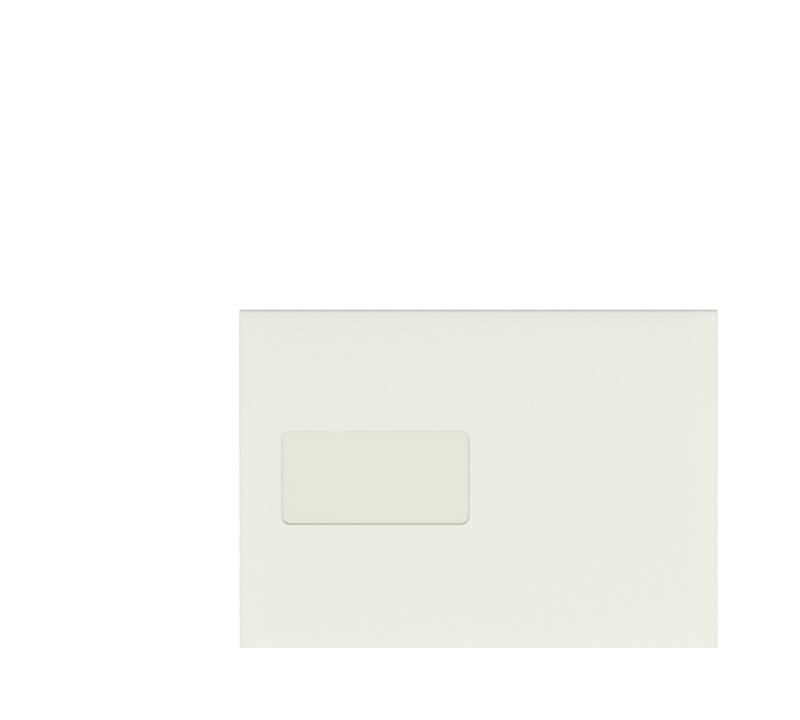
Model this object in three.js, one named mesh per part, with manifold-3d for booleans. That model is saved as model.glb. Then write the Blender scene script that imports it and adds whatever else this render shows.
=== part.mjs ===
// A C5 window envelope, lying face up with its closing flap folded down behind it.
// Millimetres. Seen from the front, +X is right and +Y is towards the closing fold. +Z is out of the
// front face. The origin is under the middle of the envelope, on the surface that it lies on.

import * as THREE from "three";
import { mergeVertices } from "three/addons/utils/BufferGeometryUtils.js";
import Module from "manifold-3d";

// Driving dimensions of the folded sheet
const envelopeWidth = 229;
const envelopeHeight = 162;
const paperThickness = 0.12;
const cornerRelief = 0.05; // each fold stops this far short of the turn of the fold beside it

const windowWidth = 90;
const windowHeight = 45;
const windowFromLeft = 20;
const windowFromBottom = 59.5;
const windowCornerRadius = 4;

const sideFlapWidth = 12.3;
const sideFlapShoulder = 11.5; // how far its slanted top end falls
const sideFlapCornerRadius = 3;
const sideFlapBevel = 4; // how far its slanted bottom end rises

const throatDepth = 18; // from the closing fold down to the back panel's free edge
const backSideMargin = 1.5;
const backCornerRadius = 10.5;

const flapDepth = 35.5;
const flapSlant = THREE.MathUtils.degToRad(25);
const flapCornerRadius = 5.5;

// Driving dimensions of what is glued to the sheet
const filmThickness = 0.04;
const windowGlueThickness = 0.04;
const glueFromWindow = 1;
const windowGlueWidth = 5;
const filmPastGlue = 1;

const seamGlueThickness = 0.05;
const seamGlueInset = 1.3; // from the edges of the overlap that it fills
const seamGlueEndMargin = 4;

const releaseStripWidth = 15;
const releaseStripThickness = 0.07;
const stripPastCorners = 0.15; // clear of the flap's rounded corners
const stripEndMargin = 0.3; // clear of the flap's slanted edges
const adhesiveThickness = 0.05;
const adhesiveInset = 1.5; // from the long edges of the strip
const adhesiveEndInset = 5; // from its ends

// How the layers lie
const pocketClearance = 0.22; // air between the film and the side flaps
const flapClearance = 0.3; // air between the release strip and the back panel
const sagLength = 66; // the stretch over which the envelope comes down from its flap to the surface
const sagPastFlap = 1.5; // the part next to the flap's tip that stays level
const sagSlabs = 8;
const foldLap = 2; // how far each fold's section runs into the front panel
const arcSegments = 8;

// Heights of the layers at the flap's end, from the surface up
const flapTop = paperThickness;
const adhesiveTop = flapTop + adhesiveThickness;
const stripTop = adhesiveTop + releaseStripThickness;
const backBottom = stripTop + flapClearance;
const backTop = backBottom + paperThickness;
const seamGlueTop = backTop + seamGlueThickness;
const sideFlapTop = seamGlueTop + paperThickness;
const filmBottom = sideFlapTop + pocketClearance;
const filmTop = filmBottom + filmThickness;
const frontBottom = filmTop + windowGlueThickness;
const frontTop = frontBottom + paperThickness;

// Radius of the outside of the fold that turns the front panel into a layer with this underside.
const foldRadius = (bottom) => (frontTop - bottom) / 2;

// Places in the plan. The front panel is flat up to its turns, where the folds begin.
const rightEdge = envelopeWidth / 2;
const topEdge = envelopeHeight / 2;
const sideTurn = rightEdge - foldRadius(seamGlueTop);
const topTurn = topEdge - foldRadius(0);
const bottomTurn = -topEdge + foldRadius(backBottom);
const sideFlapHigh = topTurn - cornerRelief;
const sideFlapLow = bottomTurn + cornerRelief;
const throat = topEdge - throatDepth;
const flapTip = topEdge - flapDepth;
const windowLeft = -rightEdge + windowFromLeft;
const windowBottom = -topEdge + windowFromBottom;
const backHalfWidth = rightEdge - backSideMargin;
const sideFlapEdge = rightEdge - sideFlapWidth;

const up = new THREE.Vector3(0, 0, 1);
const wasm = await Module();
wasm.setup();

function solidOf(geometry) {
  geometry.deleteAttribute("normal");
  geometry.deleteAttribute("uv");
  const merged = mergeVertices(geometry);
  return new wasm.Manifold(
    new wasm.Mesh({
      numProp: 3,
      vertProperties: merged.attributes.position.array,
      triVerts: new Uint32Array(merged.index.array),
    }),
  );
}

function geometryOf(solid) {
  const { vertProperties, triVerts } = solid.getMesh();
  const geometry = new THREE.BufferGeometry();
  geometry.setAttribute("position", new THREE.BufferAttribute(vertProperties, 3));
  geometry.setIndex(new THREE.BufferAttribute(triVerts, 1));
  return geometry;
}

// A closed outline through corners given anticlockwise as [x, y, radius]; a radius of 0 stays sharp.
function outline(corners) {
  const shape = new THREE.Shape();
  corners.forEach(([x, y, radius], index) => {
    if (radius === 0) {
      shape[index === 0 ? "moveTo" : "lineTo"](x, y);
      return;
    }
    const corner = new THREE.Vector2(x, y);
    const towards = (other) => new THREE.Vector2(other[0], other[1]).sub(corner).normalize();
    const before = towards(corners.at(index - 1));
    const after = towards(corners[(index + 1) % corners.length]);
    const halfAngle = Math.acos(before.dot(after)) / 2;
    const inwards = before.clone().add(after).normalize();
    const centre = inwards.multiplyScalar(radius / Math.sin(halfAngle)).add(corner);
    const angleAt = (side) =>
      side.clone().multiplyScalar(radius / Math.tan(halfAngle)).add(corner).sub(centre).angle();
    shape.absarc(centre.x, centre.y, radius, angleAt(before), angleAt(after), false);
  });
  return shape;
}

function rectangle(left, bottom, right, top, radius = 0) {
  return outline([
    [left, bottom, radius],
    [right, bottom, radius],
    [right, top, radius],
    [left, top, radius],
  ]);
}

// The window's outline, moved outwards by a distance.
function windowOutline(outwards) {
  return rectangle(
    windowLeft - outwards,
    windowBottom - outwards,
    windowLeft + windowWidth + outwards,
    windowBottom + windowHeight + outwards,
    windowCornerRadius + outwards,
  );
}

function plate(shape, bottom, top) {
  const settings = { depth: top - bottom, bevelEnabled: false, curveSegments: arcSegments };
  return solidOf(new THREE.ExtrudeGeometry(shape, settings).translate(0, 0, bottom));
}

// A fold along one edge of the front panel with the layer that it turns under, trimmed to an outline.
function foldedLayer(towards, outermost, bottom, reach, trim) {
  const top = bottom + paperThickness;
  const outerRadius = foldRadius(bottom);
  const innerRadius = outerRadius - paperThickness;
  const turn = outermost - outerRadius;
  const middle = bottom + outerRadius;
  const section = new THREE.Shape();
  section.moveTo(turn - foldLap, frontTop);
  section.absarc(turn, middle, outerRadius, Math.PI / 2, -Math.PI / 2, true);
  section.lineTo(outermost - reach, bottom);
  section.lineTo(outermost - reach, top);
  section.absarc(turn, middle, innerRadius, -Math.PI / 2, Math.PI / 2, false);
  section.lineTo(turn - foldLap, frontBottom);
  const settings = { depth: envelopeWidth, bevelEnabled: false, curveSegments: arcSegments };
  const strip = new THREE.ExtrudeGeometry(section, settings).translate(0, 0, -envelopeWidth / 2);
  const across = towards.clone().cross(up);
  strip.applyMatrix4(new THREE.Matrix4().makeBasis(towards, up, across));
  return solidOf(strip).intersect(plate(trim, bottom - paperThickness, frontTop + paperThickness));
}

// Half the flap's width at a height in the plan, along its slanted edge.
const flapHalfWidth = (y) => sideTurn - cornerRelief - (topEdge - y) * Math.tan(flapSlant);

function frontPanel() {
  const panel = rectangle(-sideTurn, bottomTurn, sideTurn, topTurn);
  panel.holes.push(windowOutline(0));
  return plate(panel, frontBottom, frontTop);
}

function sideFlap(side) {
  const fold = rightEdge + foldLap;
  const corners = [
    [fold, sideFlapLow, 0],
    [rightEdge, sideFlapLow, 0],
    [sideFlapEdge, sideFlapLow + sideFlapBevel, sideFlapCornerRadius],
    [sideFlapEdge, sideFlapHigh - sideFlapShoulder, sideFlapCornerRadius],
    [rightEdge, sideFlapHigh, 0],
    [fold, sideFlapHigh, 0],
  ].map(([x, y, radius]) => [side * x, y, radius]);
  const towards = new THREE.Vector3(side, 0, 0);
  const trim = outline(side > 0 ? corners.reverse() : corners);
  return foldedLayer(towards, rightEdge, seamGlueTop, sideFlapWidth, trim);
}

function backPanel() {
  const below = -topEdge - foldLap;
  const trim = outline([
    [-backHalfWidth, below, 0],
    [backHalfWidth, below, 0],
    [backHalfWidth, throat, backCornerRadius],
    [-backHalfWidth, throat, backCornerRadius],
  ]);
  return foldedLayer(new THREE.Vector3(0, -1, 0), topEdge, backBottom, topEdge + throat, trim);
}

function closingFlap() {
  const above = topEdge + foldLap;
  const base = flapHalfWidth(topEdge);
  const tip = flapHalfWidth(flapTip);
  const trim = outline([
    [-tip, flapTip, flapCornerRadius],
    [tip, flapTip, flapCornerRadius],
    [base, topEdge, 0],
    [base, above, 0],
    [-base, above, 0],
    [-base, topEdge, 0],
  ]);
  return foldedLayer(new THREE.Vector3(0, 1, 0), topEdge, 0, flapDepth, trim);
}

function windowGlue() {
  const ring = windowOutline(glueFromWindow + windowGlueWidth);
  ring.holes.push(windowOutline(glueFromWindow));
  return plate(ring, filmTop, frontBottom);
}

function windowFilm() {
  const margin = glueFromWindow + windowGlueWidth + filmPastGlue;
  const film = rectangle(
    windowLeft - margin,
    windowBottom - margin,
    windowLeft + windowWidth + margin,
    windowBottom + windowHeight + margin,
  );
  return plate(film, filmBottom, filmTop);
}

// The glue fills the overlap of a side flap and the back panel, clear of the panel's round corners.
function seamGlue(side) {
  const inner = side * (sideFlapEdge + seamGlueInset);
  const outer = side * (backHalfWidth - seamGlueInset);
  const bottom = sideFlapLow + sideFlapBevel + seamGlueEndMargin;
  const top = throat - backCornerRadius - seamGlueEndMargin;
  const strip = rectangle(Math.min(inner, outer), bottom, Math.max(inner, outer), top);
  return plate(strip, backTop, seamGlueTop);
}

// The strip's outer line lies just past the flap's rounded corners, and its ends meet the slanted edges.
const flapCornerReach = flapCornerRadius * Math.tan(Math.PI / 4 - flapSlant / 2) * Math.cos(flapSlant);
const stripBottom = flapTip + flapCornerReach + stripPastCorners;
const stripHalfLength = flapHalfWidth(stripBottom) - stripEndMargin;

function releaseStrip() {
  const top = stripBottom + releaseStripWidth;
  return plate(rectangle(-stripHalfLength, stripBottom, stripHalfLength, top), adhesiveTop, stripTop);
}

function flapAdhesive() {
  const halfLength = stripHalfLength - adhesiveEndInset;
  const bottom = stripBottom + adhesiveInset;
  const top = stripBottom + releaseStripWidth - adhesiveInset;
  return plate(rectangle(-halfLength, bottom, halfLength, top), flapTop, adhesiveTop);
}

// Past the flap's tip the envelope sinks to the surface, in the curve of a strip that bends under its
// own weight: the lift is the cube of the share of the stretch, times four less three times the share.
const sagEnd = flapTip - sagPastFlap;
const sagStart = sagEnd - sagLength;
const stations = Array.from({ length: sagSlabs + 1 }, (_, i) => sagStart + (sagLength * i) / sagSlabs);
const liftAt = (y) => {
  const share = THREE.MathUtils.clamp((y - sagStart) / sagLength, 0, 1);
  return share ** 3 * (4 - 3 * share);
};
const sinkAt = (y) => backBottom * (1 - liftAt(y));

// Cuts a level solid into slabs across the sag, slants each one to its place and joins them again.
function laid(solid) {
  const cuts = [-envelopeHeight, ...stations, envelopeHeight];
  let whole = null;
  for (let i = 0; i + 1 < cuts.length; i += 1) {
    const [from, to] = [cuts[i], cuts[i + 1]];
    const box = plate(rectangle(-envelopeWidth, from, envelopeWidth, to), -frontTop, 2 * frontTop);
    const slab = solid.intersect(box);
    if (slab.isEmpty()) continue;
    const geometry = geometryOf(slab);
    const position = geometry.attributes.position;
    for (let v = 0; v < position.count; v += 1) {
      const share = (position.getY(v) - from) / (to - from);
      const sink = THREE.MathUtils.lerp(sinkAt(from), sinkAt(to), share);
      position.setZ(v, position.getZ(v) - sink);
    }
    const placed = solidOf(geometry);
    whole = whole ? whole.add(placed) : placed;
  }
  return whole;
}

const paper = () => new THREE.MeshStandardMaterial({ color: "#e9ede1", roughness: 0.85 });
const glue = () => new THREE.MeshStandardMaterial({ color: "#e6dfc6", roughness: 0.4 });
const film = () =>
  new THREE.MeshStandardMaterial({
    color: "#eef0ea",
    roughness: 0.15,
    transparent: true,
    opacity: 0.25,
  });
const siliconisedPaper = () => new THREE.MeshStandardMaterial({ color: "#dfe5da", roughness: 0.5 });

const windowEnvelope = new THREE.Group();

function addPiece(name, solid, material) {
  const mesh = new THREE.Mesh(geometryOf(laid(solid)), material);
  mesh.geometry.computeVertexNormals();
  mesh.name = name;
  windowEnvelope.add(mesh);
}

const sheet = frontPanel()
  .add(sideFlap(1))
  .add(sideFlap(-1))
  .add(backPanel())
  .add(closingFlap());
addPiece("envelope_paper", sheet, paper());
addPiece("window_film", windowFilm(), film());
addPiece("window_glue", windowGlue(), glue());
addPiece("left_seam_glue", seamGlue(-1), glue());
addPiece("right_seam_glue", seamGlue(1), glue());
addPiece("flap_adhesive", flapAdhesive(), glue());
addPiece("release_strip", releaseStrip(), siliconisedPaper());

export default windowEnvelope;
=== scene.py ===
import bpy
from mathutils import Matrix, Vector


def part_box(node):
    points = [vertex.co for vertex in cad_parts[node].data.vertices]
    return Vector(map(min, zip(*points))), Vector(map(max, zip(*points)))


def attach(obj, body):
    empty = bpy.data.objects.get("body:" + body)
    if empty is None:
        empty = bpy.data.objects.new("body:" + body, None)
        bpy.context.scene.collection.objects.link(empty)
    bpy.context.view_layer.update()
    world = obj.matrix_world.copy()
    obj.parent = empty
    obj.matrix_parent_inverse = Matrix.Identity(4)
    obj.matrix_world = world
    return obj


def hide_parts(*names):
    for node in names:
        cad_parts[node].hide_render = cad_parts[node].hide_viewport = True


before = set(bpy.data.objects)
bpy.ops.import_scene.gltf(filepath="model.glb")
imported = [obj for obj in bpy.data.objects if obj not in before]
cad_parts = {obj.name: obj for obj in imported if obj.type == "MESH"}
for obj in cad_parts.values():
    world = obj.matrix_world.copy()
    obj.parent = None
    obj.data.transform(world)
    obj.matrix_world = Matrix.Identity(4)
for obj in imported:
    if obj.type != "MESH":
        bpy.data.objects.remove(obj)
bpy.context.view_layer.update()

# The folded sheet
# One die-cut blank of uncoated wove envelope paper, 90 g/m2. Its side flaps are folded in, the back
# panel is folded up over them and glued down, and the closing flap is folded down behind the back.
import math

import bmesh
import bpy
import numpy as np

MM = 0.001
PAPER = 0.12 * MM
SEAM_GLUE = 0.05 * MM
FOLD_GAP = 0.05 * MM
WINDOW_CORNER = 4 * MM
FILM_MARGIN = 7 * MM
SIDE_FLAP = 12.3 * MM
SIDE_FLAP_FALL, SIDE_FLAP_RISE = 11.5 * MM, 4 * MM
SIDE_FLAP_SHOULDER = math.atan(SIDE_FLAP_FALL / SIDE_FLAP)
SIDE_FLAP_BEVEL = math.atan(SIDE_FLAP_RISE / SIDE_FLAP)
SIDE_FLAP_CORNER = 3 * MM
THROAT_DEPTH = 18 * MM
BACK_MARGIN = 1.5 * MM
BACK_CORNER = 10.5 * MM
FLAP_DEPTH = 35.5 * MM
FLAP_SLANT = math.radians(25)
FLAP_CORNER = 5.5 * MM
SAG_LENGTH = 66 * MM
SAG_PAST_FLAP = 1.5 * MM
GRID_STEP = 2.4 * MM
ARC_STEPS = 10

half_width, half_height, front_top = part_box("envelope_paper")[1]
side_flap_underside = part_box("left_seam_glue")[1].z
back_underside = side_flap_underside - SEAM_GLUE - PAPER
front_middle = front_top - PAPER / 2
film_low, film_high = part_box("window_film")
window_low = (film_low.x + FILM_MARGIN, film_low.y + FILM_MARGIN)
window_high = (film_high.x - FILM_MARGIN, film_high.y - FILM_MARGIN)
sag_end = half_height - FLAP_DEPTH - SAG_PAST_FLAP


def settled(y):
    """How far the layers above the flap sink to the table. Past the sag's end they don't. Along it
    they keep a share of their height: the cube of the share of its length, times four less three
    times that share."""
    share = np.clip((y - sag_end + SAG_LENGTH) / SAG_LENGTH, 0, 1)
    return -back_underside * (1 - share**3 * (4 - 3 * share))


def window_outline(outwards, sides):
    """Points round the window, moved outwards, at the given shares of each side. A side is half of
    one corner's arc, the straight edge and half of the next arc, and each half arc takes up a fixed
    share of it."""
    arc_share = 0.08
    eighth = math.pi / 4
    radius = WINDOW_CORNER + outwards
    corners = np.array(
        [window_low, (window_high[0], window_low[1]), window_high, (window_low[0], window_high[1])]
    )
    inward = np.array([(1, 1), (-1, 1), (-1, -1), (1, -1)])
    centres = corners + inward * WINDOW_CORNER
    points = []
    for side, shares in enumerate(sides):
        facing = (side - 1) * math.pi / 2
        first = facing - eighth + np.minimum(shares / arc_share, 1) * eighth
        last = facing + np.maximum((shares - 1) / arc_share + 1, 0) * eighth
        angle = np.where(shares < 0.5, first, last)
        run = np.clip((shares - arc_share) / (1 - 2 * arc_share), 0, 1)[:, None]
        centre = centres[side] * (1 - run) + centres[(side + 1) % 4] * run
        points.append(centre + radius * np.stack([np.cos(angle), np.sin(angle)], 1))
    return np.concatenate(points)


def edge_half(inwards, depth, base, slant, radius):
    """Half the width of a panel, this far in from its fold: an edge that leans in by the slant,
    then an arc of the radius that touches both this edge and the panel's free end."""
    centre = depth - radius
    centre_half = base - (radius + centre * math.sin(slant)) / math.cos(slant)
    touch = centre + radius * math.sin(slant)
    past = np.clip(inwards, touch, depth) - centre
    rounded = centre_half + np.sqrt(np.maximum(radius**2 - past**2, 0))
    return np.where(inwards < touch, base - inwards * math.tan(slant), rounded)


def folded_panel(outwards, outermost, layer_underside, depth, ends, shares):
    """A layer that hangs on one fold of the front panel, as a profile along the fold: level to the
    turn, half round an arc and back underneath. Its rows are lengths along the profile, and its
    columns are shares of the width between its two ends, each end a (base, slant, radius)."""
    outer = (front_top - layer_underside) / 2
    middle = outer - PAPER / 2
    turn = outermost - outer
    slant = min(end[1] for end in ends)
    radius = ends[0][2]
    touch = depth - radius * (1 - math.sin(slant))
    flat_rows = math.ceil((touch - outer) / GRID_STEP)
    straight = np.linspace(outer, touch, flat_rows + 1)[1:]
    turned = np.linspace(slant, math.pi / 2, ARC_STEPS + 1)[1:]
    inwards = np.append(straight, depth - radius * (1 - np.sin(turned)))
    arc = np.linspace(0, math.pi * middle, ARC_STEPS + 1)
    length = np.append(arc, math.pi * middle + inwards - outer)[:, None]
    angle = np.minimum(length / middle, math.pi)
    reach = turn + middle * np.sin(angle) - np.maximum(length - math.pi * middle, 0)
    low, high = (edge_half(outermost - reach, depth, *end) for end in ends)
    place = -low + (low + high) * shares[None, :]
    outwards = np.array(outwards)
    sideways = np.array([-outwards[1], outwards[0]])
    plan = reach[..., None] * outwards + place[..., None] * sideways
    blank = (turn + length)[..., None] * outwards + place[..., None] * sideways
    height = front_middle - middle * (1 - np.cos(angle)) + settled(plan[..., 1])
    return np.dstack([plan, height]), blank


def quads(rows, columns, start, closed):
    """The faces of a grid, each as four corner numbers from start on. A face looks to the side from
    which the next column lies anticlockwise of the next row."""
    row, column = np.meshgrid(np.arange(rows - 1), np.arange(columns - (not closed)), indexing="ij")
    after = (column + 1) % columns
    corners = [row * columns + column, (row + 1) * columns + column]
    corners += [(row + 1) * columns + after, row * columns + after]
    return start + np.stack(corners, -1).reshape(-1, 4)


WELD = 0.002 * MM
SHARP_ANGLE = math.radians(40)


def make_piece(name, grids, wall, closed=False):
    """A thin closed body from one or more grids of (points, blank places), welded where they meet
    and given a wall that is half on each side. The blank places become the UV map, in metres. With
    closed, the first grid's last column joins its first."""
    faces, start = [], 0
    for points, _ in grids:
        rows, columns = points.shape[:2]
        faces.append(quads(rows, columns, start, closed and start == 0))
        start += rows * columns
    faces = np.concatenate(faces)
    points = np.concatenate([grid.reshape(-1, 3) for grid, _ in grids])
    blank = np.concatenate([places.reshape(-1, 2) for _, places in grids])
    mesh = bpy.data.meshes.new(name)
    mesh.from_pydata(points.tolist(), [], faces.tolist())
    mesh.uv_layers.new(name="blank").data.foreach_set("uv", blank[faces.ravel()].ravel())
    welded = bmesh.new()
    welded.from_mesh(mesh)
    bmesh.ops.remove_doubles(welded, verts=welded.verts, dist=WELD)
    welded.to_mesh(mesh)
    welded.free()
    piece = bpy.data.objects.new(name, mesh)
    bpy.context.scene.collection.objects.link(piece)
    solidify = piece.modifiers.new("wall", "SOLIDIFY")
    solidify.thickness = wall
    solidify.offset = 0
    solidify.use_even_offset = True
    graph = bpy.context.evaluated_depsgraph_get()
    piece.data = bpy.data.meshes.new_from_object(piece.evaluated_get(graph))
    piece.modifiers.clear()
    piece.data.shade_smooth()
    piece.data.set_sharp_from_angle(angle=SHARP_ANGLE)
    return piece


# The front panel is level between its four turns, where the folds begin. The four layers that hang
# on it come next: the back panel, the right side flap, the closing flap and the left side flap.
# At the envelope's corners each fold stops a small gap short of the turn beside it.
right = half_width - (front_top - side_flap_underside) / 2
left = -right
top = half_height - front_top / 2
bottom = (front_top - back_underside) / 2 - half_height
shoulder = (top - FOLD_GAP, SIDE_FLAP_SHOULDER, SIDE_FLAP_CORNER)
bevel = (-bottom - FOLD_GAP, SIDE_FLAP_BEVEL, SIDE_FLAP_CORNER)
back_end = (half_width - BACK_MARGIN, 0, BACK_CORNER)
flap_end = (right - FOLD_GAP, FLAP_SLANT, FLAP_CORNER)
back_depth = 2 * half_height - THROAT_DEPTH
across = np.linspace(0, 1, 1 + round(2 * half_width / GRID_STEP))
upright = np.linspace(0, 1, 1 + round(2 * half_height / GRID_STEP))
layers = [
    folded_panel((0, -1), half_height, back_underside, back_depth, (back_end, back_end), across),
    folded_panel((1, 0), half_width, side_flap_underside, SIDE_FLAP, (bevel, shoulder), upright),
    folded_panel((0, 1), half_height, 0, FLAP_DEPTH, (flap_end, flap_end), across),
    folded_panel((-1, 0), half_width, side_flap_underside, SIDE_FLAP, (shoulder, bevel), upright),
]

TOP_RIDGE, BOTTOM_RIDGE, SIDE_RIDGE = 0.25 * MM, 0.08 * MM, 0.12 * MM
RIDGE_WIDTH = 10 * MM
CALM_LENGTH = 4 * MM
COCKLE = 0.02 * MM
COCKLE_ACROSS, COCKLE_UPRIGHT, COCKLE_SLANTED = 19 * MM, 14 * MM, 31 * MM
ACROSS_START, UPRIGHT_START, SLANTED_START = 0.8, 1.9, 0.3


def ridge(distance):
    """The paper's spring beside a fold, as a share of its height: a rise to 1 at the ridge's width
    and a slow fall, the distance over the width times e to the power of 1 less that."""
    share = np.maximum(distance, 0) / RIDGE_WIDTH
    return share * np.exp(1 - share)


def calm(distance):
    """How much of a swelling is left this far from a fold that crosses it: none at the fold, and
    beyond it 1 less e to the power of minus the distance over the calm length."""
    return 1 - np.exp(-np.maximum(distance, 0) / CALM_LENGTH)


def swelling(x, y):
    """The front panel's own rise: a ridge beside each fold, which dies out next to the folds that
    cross it, and slow cockles of the whole panel, the product of two sines and a slanted sine."""
    side = np.minimum(x - left, right - x)
    end = np.minimum(y - bottom, top - y)
    waves = np.sin(x / COCKLE_ACROSS + ACROSS_START) * np.sin(y / COCKLE_UPRIGHT + UPRIGHT_START)
    waves = waves + np.sin((x + 2 * y) / COCKLE_SLANTED + SLANTED_START)
    end_ridges = TOP_RIDGE * ridge(top - y) + BOTTOM_RIDGE * ridge(y - bottom)
    cockles = COCKLE * (1 + waves / 2) * calm(side)
    return end_ridges * calm(side) + (SIDE_RIDGE * ridge(side) + cockles) * calm(end)


# The front panel's grid fans out from the window to the four turns. On each turn it takes the first
# row of the layer that hangs there, after the panel's own corner.
RINGS = 49
RING_CROWDING = 1.5
panel_corners = np.array([(left, bottom), (right, bottom), (right, top), (left, top)])
rim, rim_shares = [], []
for side, (points, _) in enumerate(layers):
    start, end = panel_corners[side], panel_corners[(side + 1) % 4]
    on_turn = np.vstack([start, points[0, :, :2]])
    rim.append(on_turn)
    rim_shares.append((on_turn - start) @ (end - start) / ((end - start) @ (end - start)))
hole = window_outline(0, rim_shares)
spread = (np.linspace(0, 1, RINGS) ** RING_CROWDING)[:, None, None]
plan = hole + (np.concatenate(rim) - hole) * spread
height = front_middle + swelling(plan[..., 0], plan[..., 1]) + settled(plan[..., 1])
front = (np.dstack([plan, height]), plan)
folded_sheet = make_piece("folded_sheet", [front, *layers], PAPER, closed=True)


def linear(hex_colour):
    """sRGB hex to linear light: the straight foot below 0.04045, else the power of 2.4."""
    srgb = np.array([int(hex_colour[place : place + 2], 16) for place in (1, 3, 5)]) / 255
    rgb = np.where(srgb <= 0.04045, srgb / 12.92, ((srgb + 0.055) / 1.055) ** 2.4)
    return (*rgb.tolist(), 1.0)


def add_node(tree, kind, inputs=None, **settings):
    """Adds a node to the tree. Each input is a value, or another node's output to link it to."""
    made = tree.nodes.new(kind)
    for name, value in settings.items():
        setattr(made, name, value)
    for key, value in (inputs or {}).items():
        if isinstance(value, bpy.types.NodeSocket):
            tree.links.new(value, made.inputs[key])
        else:
            made.inputs[key].default_value = value
    return made


def empty_material(name):
    """A new material and its node tree, with nothing in it."""
    material = bpy.data.materials.new(name)
    material.use_nodes = True
    material.node_tree.nodes.clear()
    return material, material.node_tree


def soft_box(tree, socket, low, high, soft):
    """1 where the value lies between low and high, with smooth edges as wide as soft, else 0."""
    rise = add_node(
        tree,
        "ShaderNodeMapRange",
        {"Value": socket, "From Min": low - soft / 2, "From Max": low + soft / 2},
        interpolation_type="SMOOTHSTEP",
    )
    fall = add_node(
        tree,
        "ShaderNodeMapRange",
        {"Value": socket, "From Min": high + soft / 2, "From Max": high - soft / 2},
        interpolation_type="SMOOTHSTEP",
    )
    both = add_node(
        tree, "ShaderNodeMath", {0: rise.outputs[0], 1: fall.outputs[0]}, operation="MULTIPLY"
    )
    return both.outputs[0]


FIBRE_LENGTH, FIBRE_WIDTH = 1.8 * MM, 0.15 * MM
FIBRE_TURNS = (0.35, 1.4, 2.4)
FIBRE_CURL, CURL_SIZE = 0.9 * MM, 2.2 * MM
FIBRE_RELIEF = 0.04 * MM
FELT_LOW, FELT_HIGH = 0.5, 0.8
FELT_DARK, FELT_LIGHT = 0.978, 1.03
CLOUD_SIZE = 4 * MM
CLOUD_DARK, CLOUD_LIGHT = 0.994, 1.006
NOISE_LOW, NOISE_HIGH = 0.3, 0.7
PAPER_IOR = 1.45


def wove_paper(name, colour, roughness):
    """Uncoated wove paper: curled fibres felted every way on a wire give it a dull, slightly furry
    face with soft clouds. Real fibres are 0.03 mm wide; they are drawn 0.15 mm wide, so that they
    show. Returns the material, its tree, its tone and the node that the tone scales."""
    material, tree = empty_material(name)
    blank = add_node(tree, "ShaderNodeUVMap", uv_map="blank").outputs[0]
    clouds = add_node(
        tree, "ShaderNodeTexNoise", {"Vector": blank, "Scale": 1 / CLOUD_SIZE, "Detail": 3.0}
    )
    curls = add_node(
        tree, "ShaderNodeTexNoise", {"Vector": blank, "Scale": 1 / CURL_SIZE, "Detail": 1.0}
    )
    curled = add_node(
        tree,
        "ShaderNodeVectorMath",
        {0: curls.outputs[1], 1: (FIBRE_CURL, FIBRE_CURL, 0), 2: blank},
        operation="MULTIPLY_ADD",
    )
    felt = 0.0
    for turn in FIBRE_TURNS:
        laid = add_node(
            tree,
            "ShaderNodeMapping",
            {
                "Vector": curled.outputs[0],
                "Rotation": (0, 0, turn),
                "Scale": (FIBRE_LENGTH, FIBRE_WIDTH, 1),
            },
            vector_type="TEXTURE",
        )
        strands = add_node(
            tree, "ShaderNodeTexNoise", {"Vector": laid.outputs[0], "Scale": 1.0, "Detail": 1.0}
        )
        felt = add_node(
            tree, "ShaderNodeMath", {0: strands.outputs[0], 1: felt}, operation="MAXIMUM"
        ).outputs[0]
    cloud_tone = add_node(
        tree,
        "ShaderNodeMapRange",
        {
            "Value": clouds.outputs[0],
            "From Min": NOISE_LOW,
            "From Max": NOISE_HIGH,
            "To Min": CLOUD_DARK,
            "To Max": CLOUD_LIGHT,
        },
    )
    felt_tone = add_node(
        tree,
        "ShaderNodeMapRange",
        {
            "Value": felt,
            "From Min": FELT_LOW,
            "From Max": FELT_HIGH,
            "To Min": FELT_DARK,
            "To Max": FELT_LIGHT,
        },
    )
    tone = add_node(
        tree,
        "ShaderNodeMath",
        {0: cloud_tone.outputs[0], 1: felt_tone.outputs[0]},
        operation="MULTIPLY",
    )
    tinted = add_node(
        tree,
        "ShaderNodeVectorMath",
        {0: linear(colour)[:3], "Scale": tone.outputs[0]},
        operation="SCALE",
    )
    relief = add_node(
        tree, "ShaderNodeBump", {"Height": felt, "Strength": 1.0, "Distance": FIBRE_RELIEF}
    )
    shader = add_node(
        tree,
        "ShaderNodeBsdfPrincipled",
        {
            "Base Color": tinted.outputs[0],
            "Roughness": roughness,
            "IOR": PAPER_IOR,
            "Normal": relief.outputs[0],
        },
    )
    add_node(tree, "ShaderNodeOutputMaterial", {"Surface": shader.outputs[0]})
    return material, tree, tone.outputs[0], tinted


paper, tree, tone, tinted = wove_paper("uncoated_wove_paper", "#ECEFE4", 0.9)

# Light that passes through the thin sheet is painted into its colour as faint shade. The pocket is
# painted a little darker than the side flaps, and so is the part of the back panel that lies
# behind the window. Along each fold the sheet is a little darker.
POCKET_PAINTED_SHADE, POCKET_SOFT = 0.992, 2.5 * MM
WINDOW_PAINTED_SHADE, WINDOW_SOFT = 0.988, 2 * MM
FOLD_TONE, BOTTOM_FOLD_TONE, FOLD_SOFT = 0.965, 0.99, 1 * MM
FOLD_BAND = 0.9 * MM
below_blank = -4 * half_height
back_turn = bottom - math.pi * ((front_top - back_underside) / 2 - PAPER / 2)
window_bottom = bottom + back_turn - window_high[1]
window_top = bottom + back_turn - window_low[1]
blank_uv = add_node(tree, "ShaderNodeUVMap", uv_map="blank").outputs[0]
sideways, upwards, _ = add_node(tree, "ShaderNodeSeparateXYZ", {0: blank_uv}).outputs
from_middle = add_node(tree, "ShaderNodeMath", {0: sideways}, operation="ABSOLUTE").outputs[0]
below_top = soft_box(tree, upwards, below_blank, top, FOLD_SOFT)
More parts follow.
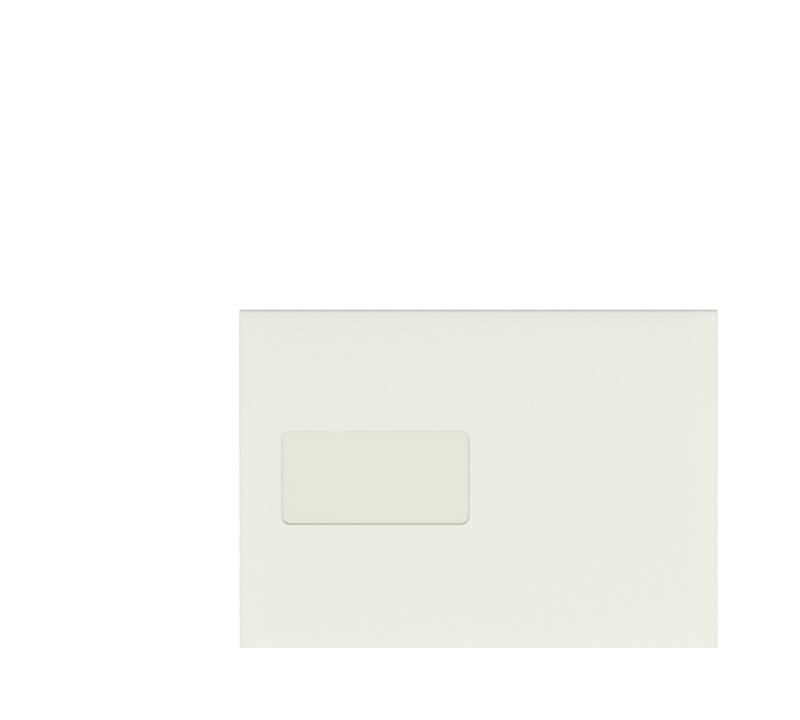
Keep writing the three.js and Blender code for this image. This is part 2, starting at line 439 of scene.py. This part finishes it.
marks = [
    # Painted shade: the pocket, with no side flap behind it, is painted darker.
    (
        soft_box(tree, from_middle, -half_width, half_width - SIDE_FLAP, POCKET_SOFT),
        below_top,
        POCKET_PAINTED_SHADE,
    ),
    # Painted shade: the back panel behind the window is painted darker, as if the window showed
    # through.
    (
        soft_box(tree, sideways, window_low[0], window_high[0], WINDOW_SOFT),
        soft_box(tree, upwards, window_bottom, window_top, WINDOW_SOFT),
        WINDOW_PAINTED_SHADE,
    ),
    # Darker along the side folds, the top fold and the bottom fold.
    (
        soft_box(tree, from_middle, right - FOLD_BAND, right + FOLD_BAND, FOLD_SOFT),
        below_top,
        FOLD_TONE,
    ),
    (
        soft_box(tree, upwards, top - FOLD_BAND, top + 2 * FOLD_BAND, FOLD_SOFT),
        1.0,
        FOLD_TONE,
    ),
    (
        soft_box(tree, upwards, back_turn - FOLD_BAND, bottom + FOLD_BAND, FOLD_SOFT),
        1.0,
        BOTTOM_FOLD_TONE,
    ),
]
for one_way, other_way, darkest in marks:
    field = add_node(tree, "ShaderNodeMath", {0: one_way, 1: other_way}, operation="MULTIPLY")
    dimmed = add_node(
        tree, "ShaderNodeMapRange", {"Value": field.outputs[0], "To Min": 1.0, "To Max": darkest}
    )
    tone = add_node(
        tree, "ShaderNodeMath", {0: tone, 1: dimmed.outputs[0]}, operation="MULTIPLY"
    ).outputs[0]
tree.links.new(tone, tinted.inputs["Scale"])
folded_sheet.data.materials.append(paper)
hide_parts("envelope_paper")
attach(folded_sheet, "root")

# The window film
# A rectangle of clear polystyrene film, 0.04 mm thick, glued behind the window. Cast film is glossy
# and never quite flat: between its glued edges it has shallow ripples.
FILM = 0.04 * MM
WINDOW_GLUE = 0.04 * MM
FINE_STEP = 1 * MM
RIPPLE = 0.12 * MM
RIPPLE_ACROSS, RIPPLE_UPRIGHT, RIPPLE_SLANTED = 2.7 * MM, 13 * MM, 5.3 * MM
RIPPLE_SWAY = 1.2


def stations(low, high):
    """Places from low to high, the fine step apart."""
    return np.linspace(low, high, 1 + round((high - low) / FINE_STEP))


def film_height(x, y):
    """The film follows the front panel, with ripples that are full in the middle of the window and
    fall to nothing at its edges along a parabola each way. They are a sine across, which sways with
    the height, and a slanted sine."""
    share_x = np.clip((x - window_low[0]) / (window_high[0] - window_low[0]), 0, 1)
    share_y = np.clip((y - window_low[1]) / (window_high[1] - window_low[1]), 0, 1)
    free = 4 * share_x * (1 - share_x) * 4 * share_y * (1 - share_y)
    sway = RIPPLE_SWAY * np.sin(y / RIPPLE_UPRIGHT)
    ripples = np.sin(x / RIPPLE_ACROSS + sway) + np.sin((x + y) / RIPPLE_SLANTED)
    middle = front_top - PAPER - WINDOW_GLUE - FILM / 2
    return middle + swelling(x, y) + settled(y) + RIPPLE * free * ripples / 2


y, x = np.meshgrid(stations(film_low.y, film_high.y), stations(film_low.x, film_high.x))
film_points = np.dstack([x, y, film_height(x, y)])
clear_film = make_piece("clear_film", [(film_points, film_points[..., :2])], FILM)


def clear_polystyrene():
    """Cast polystyrene, IOR 1.59: nearly all light passes, and a little comes back as a sharp
    gloss. Only the faces that light meets from outside mirror it."""
    material, tree = empty_material("clear_polystyrene_film")
    passed = add_node(tree, "ShaderNodeBsdfTransparent", {"Color": linear("#FEFEFD")})
    gloss = add_node(
        tree, "ShaderNodeBsdfGlossy", {"Color": linear("#FFFFFF"), "Roughness": 0.06}
    )
    mirror = add_node(tree, "ShaderNodeFresnel", {"IOR": 1.59})
    inside = add_node(tree, "ShaderNodeNewGeometry").outputs["Backfacing"]
    entering = add_node(tree, "ShaderNodeMath", {0: 1.0, 1: inside}, operation="SUBTRACT")
    share = add_node(
        tree, "ShaderNodeMath", {0: mirror.outputs[0], 1: entering.outputs[0]}, operation="MULTIPLY"
    )
    both = add_node(
        tree,
        "ShaderNodeMixShader",
        {0: share.outputs[0], 1: passed.outputs[0], 2: gloss.outputs[0]},
    )
    add_node(tree, "ShaderNodeOutputMaterial", {"Surface": both.outputs[0]})
    return material


clear_film.data.materials.append(clear_polystyrene())
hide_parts("window_film")
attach(clear_film, "root")

# The window glue
# A frame-shaped line of clear dextrin glue, rolled on round the window, that holds the film to the
# inside of the front panel. It dries to a thin, slightly yellow skin.
GLUE_START = 1 * MM
GLUE_WIDTH = 5 * MM
GLUE_RINGS = 7
glue_height = front_top - PAPER - WINDOW_GLUE / 2
ring_rows = []
for outwards in np.linspace(GLUE_START, GLUE_START + GLUE_WIDTH, GLUE_RINGS):
    ring = window_outline(outwards, rim_shares)
    ring_height = glue_height + swelling(ring[:, 0], ring[:, 1]) + settled(ring[:, 1])
    ring_rows.append(np.column_stack([ring, ring_height]))
ring_points = np.array(ring_rows)
ring_grid = (ring_points, ring_points[..., :2])
glue_frame = make_piece("glue_frame", [ring_grid], WINDOW_GLUE, closed=True)

GLUE_IOR = 1.47
STREAK_DARK, STREAK_LIGHT = 0.96, 1.03
STREAK_RELIEF, STREAK_STRENGTH = 0.02 * MM, 0.6


def dried_glue(name, colour, roughness, grain):
    """A skin of dried glue, smooth, with soft streaks as wide as the grain from being laid on."""
    material, tree = empty_material(name)
    place = add_node(tree, "ShaderNodeTexCoord").outputs["Object"]
    streaks = add_node(
        tree, "ShaderNodeTexNoise", {"Vector": place, "Scale": 1 / grain, "Detail": 2.0}
    )
    tone = add_node(
        tree,
        "ShaderNodeMapRange",
        {
            "Value": streaks.outputs[0],
            "From Min": NOISE_LOW,
            "From Max": NOISE_HIGH,
            "To Min": STREAK_DARK,
            "To Max": STREAK_LIGHT,
        },
    )
    tinted = add_node(
        tree,
        "ShaderNodeVectorMath",
        {0: linear(colour)[:3], "Scale": tone.outputs[0]},
        operation="SCALE",
    )
    relief = add_node(
        tree,
        "ShaderNodeBump",
        {"Height": streaks.outputs[0], "Strength": STREAK_STRENGTH, "Distance": STREAK_RELIEF},
    )
    shader = add_node(
        tree,
        "ShaderNodeBsdfPrincipled",
        {
            "Base Color": tinted.outputs[0],
            "Roughness": roughness,
            "IOR": GLUE_IOR,
            "Normal": relief.outputs[0],
        },
    )
    add_node(tree, "ShaderNodeOutputMaterial", {"Surface": shader.outputs[0]})
    return material


dextrin = dried_glue("dried_dextrin_glue", "#E6E1CC", roughness=0.38, grain=1.5 * MM)
glue_frame.data.materials.append(dextrin)
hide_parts("window_glue")
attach(glue_frame, "root")

# The seam glue
# Two strips of the same glue, each between a side flap and the back panel. They are squeezed flat
# when the seam is pressed, so their long edges wander a little.
STRIP_COLUMNS = 9
WANDER_LONG, WANDER_SHORT = 6.1 * MM, 2.9 * MM
SEAM_WANDER = 0.15 * MM


def squeezed_strip(low, high, middle, wander):
    """A flat strip along its longer side, on a grid of stations by columns. Each long edge is set
    in by the wander, times 1 plus half the sum of two sines along the strip, and the columns
    between the edges follow in proportion."""
    size = high - low
    long_axis = int(size[1] > size[0])
    width = size[1 - long_axis]
    run = stations(0, size[long_axis])[:, None]
    side = np.linspace(-1, 1, STRIP_COLUMNS)[None, :]
    waves = np.sin(run / WANDER_LONG) + np.sin(run / WANDER_SHORT + side)
    inset = wander * (1 + waves / 2)
    place = low[1 - long_axis] + width / 2 + side * (width / 2 - inset)
    along = low[long_axis] + run + 0 * side
    x, y = (place, along) if long_axis == 1 else (along, place)
    points = np.dstack([x, y, middle(x, y)])
    return points[::-1] if long_axis == 1 else points


def seam_height(x, y):
    """The middle of the seam's glue: on the back panel, sinking with it to the table."""
    return back_underside + PAPER + SEAM_GLUE / 2 + settled(y)


for node in ("left_seam_glue", "right_seam_glue"):
    low, high = (np.array(corner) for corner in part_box(node))
    strip = squeezed_strip(low, high, seam_height, SEAM_WANDER)
    bead_name = node.replace("seam_glue", "seam_bead")
    seam_bead = make_piece(bead_name, [(strip, strip[..., :2])], SEAM_GLUE)
    seam_bead.data.materials.append(dextrin)
    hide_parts(node)
    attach(seam_bead, "root")

# The flap adhesive
# A stripe of clear pressure-sensitive hot melt along the inside of the closing flap. It was laid on
# by a slot nozzle, so it is level across and ends square, and it stays soft and glossy.
ADHESIVE_WANDER = 0.1 * MM
low, high = (np.array(corner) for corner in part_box("flap_adhesive"))
adhesive_wall = high[2] - low[2]
adhesive_middle = (low[2] + high[2]) / 2
strip = squeezed_strip(low, high, lambda x, y: np.full_like(x, adhesive_middle), ADHESIVE_WANDER)
hot_melt = make_piece("hot_melt_stripe", [(strip, strip[..., :2])], adhesive_wall)
sticky = dried_glue("pressure_sensitive_hot_melt", "#E9E4CF", roughness=0.16, grain=2.5 * MM)
hot_melt.data.materials.append(sticky)
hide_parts("flap_adhesive")
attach(hot_melt, "root")

# The release strip
# A strip of siliconised paper that covers the adhesive until the envelope is closed. The silicone
# gives it a satin face. It is cut square and only tacked down, so its two ends curl up a little
# into the air under the back panel.
CURL = 0.12 * MM
CURL_REACH = 9 * MM
low, high = (np.array(corner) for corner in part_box("release_strip"))
strip_wall = high[2] - low[2]
strip_middle = (low[2] + high[2]) / 2
y, x = np.meshgrid(stations(low[1], high[1]), stations(low[0], high[0]))
curl = CURL * np.clip((np.abs(x) - high[0] + CURL_REACH) / CURL_REACH, 0, 1) ** 2
strip_points = np.dstack([x, y, strip_middle + curl])
peel_strip = make_piece("peel_strip", [(strip_points, strip_points[..., :2])], strip_wall)
siliconised = wove_paper("siliconised_release_paper", "#E3E8DC", 0.42)[0]
peel_strip.data.materials.append(siliconised)
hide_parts("release_strip")
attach(peel_strip, "root")

# The table
# A plain white table under the envelope. To the camera it is brighter than white, so that it shows
# as pure white wherever it is lit and still keeps the envelope's shadow.
TABLE_HALF = 1.0
TABLE_GAP = 0.05 * MM
TABLE_TONE, SEEN_TONE = 0.82, 1.25
table_mesh = bpy.data.meshes.new("table")
square = np.array([(-1, -1, 0), (1, -1, 0), (1, 1, 0), (-1, 1, 0)])
table_corners = square * TABLE_HALF - (0, 0, TABLE_GAP)
table_mesh.from_pydata(table_corners.tolist(), [], [(0, 1, 2, 3)])
table = bpy.data.objects.new("table", table_mesh)
bpy.context.scene.collection.objects.link(table)
white, tree = empty_material("white_table")
seen = add_node(tree, "ShaderNodeLightPath").outputs["Is Camera Ray"]
shade = add_node(
    tree, "ShaderNodeMapRange", {"Value": seen, "To Min": TABLE_TONE, "To Max": SEEN_TONE}
)
matte = add_node(tree, "ShaderNodeBsdfDiffuse", {"Color": shade.outputs[0]})
add_node(tree, "ShaderNodeOutputMaterial", {"Surface": matte.outputs[0]})
table.data.materials.append(white)

# The room light
# Even light from all round, weaker than white. The camera, mirrors and clear film see plain white.
FILL = 0.46
room = bpy.data.worlds.new("room")
bpy.context.scene.world = room
room.use_nodes = True
tree = room.node_tree
tree.nodes.clear()
path = add_node(tree, "ShaderNodeLightPath").outputs
direct = add_node(
    tree,
    "ShaderNodeMath",
    {0: path["Is Camera Ray"], 1: path["Is Glossy Ray"]},
    operation="MAXIMUM",
)
open_view = add_node(
    tree,
    "ShaderNodeMath",
    {0: direct.outputs[0], 1: path["Is Transmission Ray"]},
    operation="MAXIMUM",
)
strength = add_node(
    tree, "ShaderNodeMapRange", {"Value": open_view.outputs[0], "To Min": FILL, "To Max": 1.0}
)
sky = add_node(
    tree, "ShaderNodeBackground", {"Color": (1, 1, 1, 1), "Strength": strength.outputs[0]}
)
add_node(tree, "ShaderNodeOutputWorld", {"Surface": sky.outputs[0]})

# The lamp
# One wide soft lamp stands past the bottom edge and a little to the right. Its power gives a level
# white surface the key share of white: the share times the square of pi times the distance, over
# the sine of the lamp's height.
KEY_SHARE = 0.71
KEY_DISTANCE = 4.5
KEY_HEIGHT = math.radians(56)
KEY_TURN = math.radians(14)
KEY_WIDTH, KEY_DEPTH = 6.0, 3.0
key = bpy.data.lights.new("softbox", "AREA")
key.shape = "RECTANGLE"
key.size, key.size_y = KEY_WIDTH, KEY_DEPTH
key.energy = KEY_SHARE * (math.pi * KEY_DISTANCE) ** 2 / math.sin(KEY_HEIGHT)
softbox = bpy.data.objects.new("softbox", key)
softbox.location = (
    KEY_DISTANCE * math.cos(KEY_HEIGHT) * math.sin(KEY_TURN),
    -KEY_DISTANCE * math.cos(KEY_HEIGHT) * math.cos(KEY_TURN),
    KEY_DISTANCE * math.sin(KEY_HEIGHT),
)
softbox.rotation_euler = (-softbox.location).to_track_quat("-Z", "Y").to_euler()
bpy.context.scene.collection.objects.link(softbox)

# The camera
# It looks straight down. The photograph's frame is 800 pixels wide, and the envelope's middle lies
# right of and below the frame's middle.
FRAME_WIDTH = 800
MM_PER_PIXEL = 0.4792
PIXELS_RIGHT, PIXELS_DOWN = 78.7, 119.6
LENS = 85
camera_data = bpy.data.cameras.new("overhead")
camera_data.lens = LENS
view_width = FRAME_WIDTH * MM_PER_PIXEL * MM
camera = bpy.data.objects.new("overhead", camera_data)
camera.location = (
    -PIXELS_RIGHT * MM_PER_PIXEL * MM,
    PIXELS_DOWN * MM_PER_PIXEL * MM,
    view_width * camera_data.lens / camera_data.sensor_width,
)
bpy.context.scene.collection.objects.link(camera)
bpy.context.scene.camera = camera
bpy.context.scene.view_settings.view_transform = "Standard"
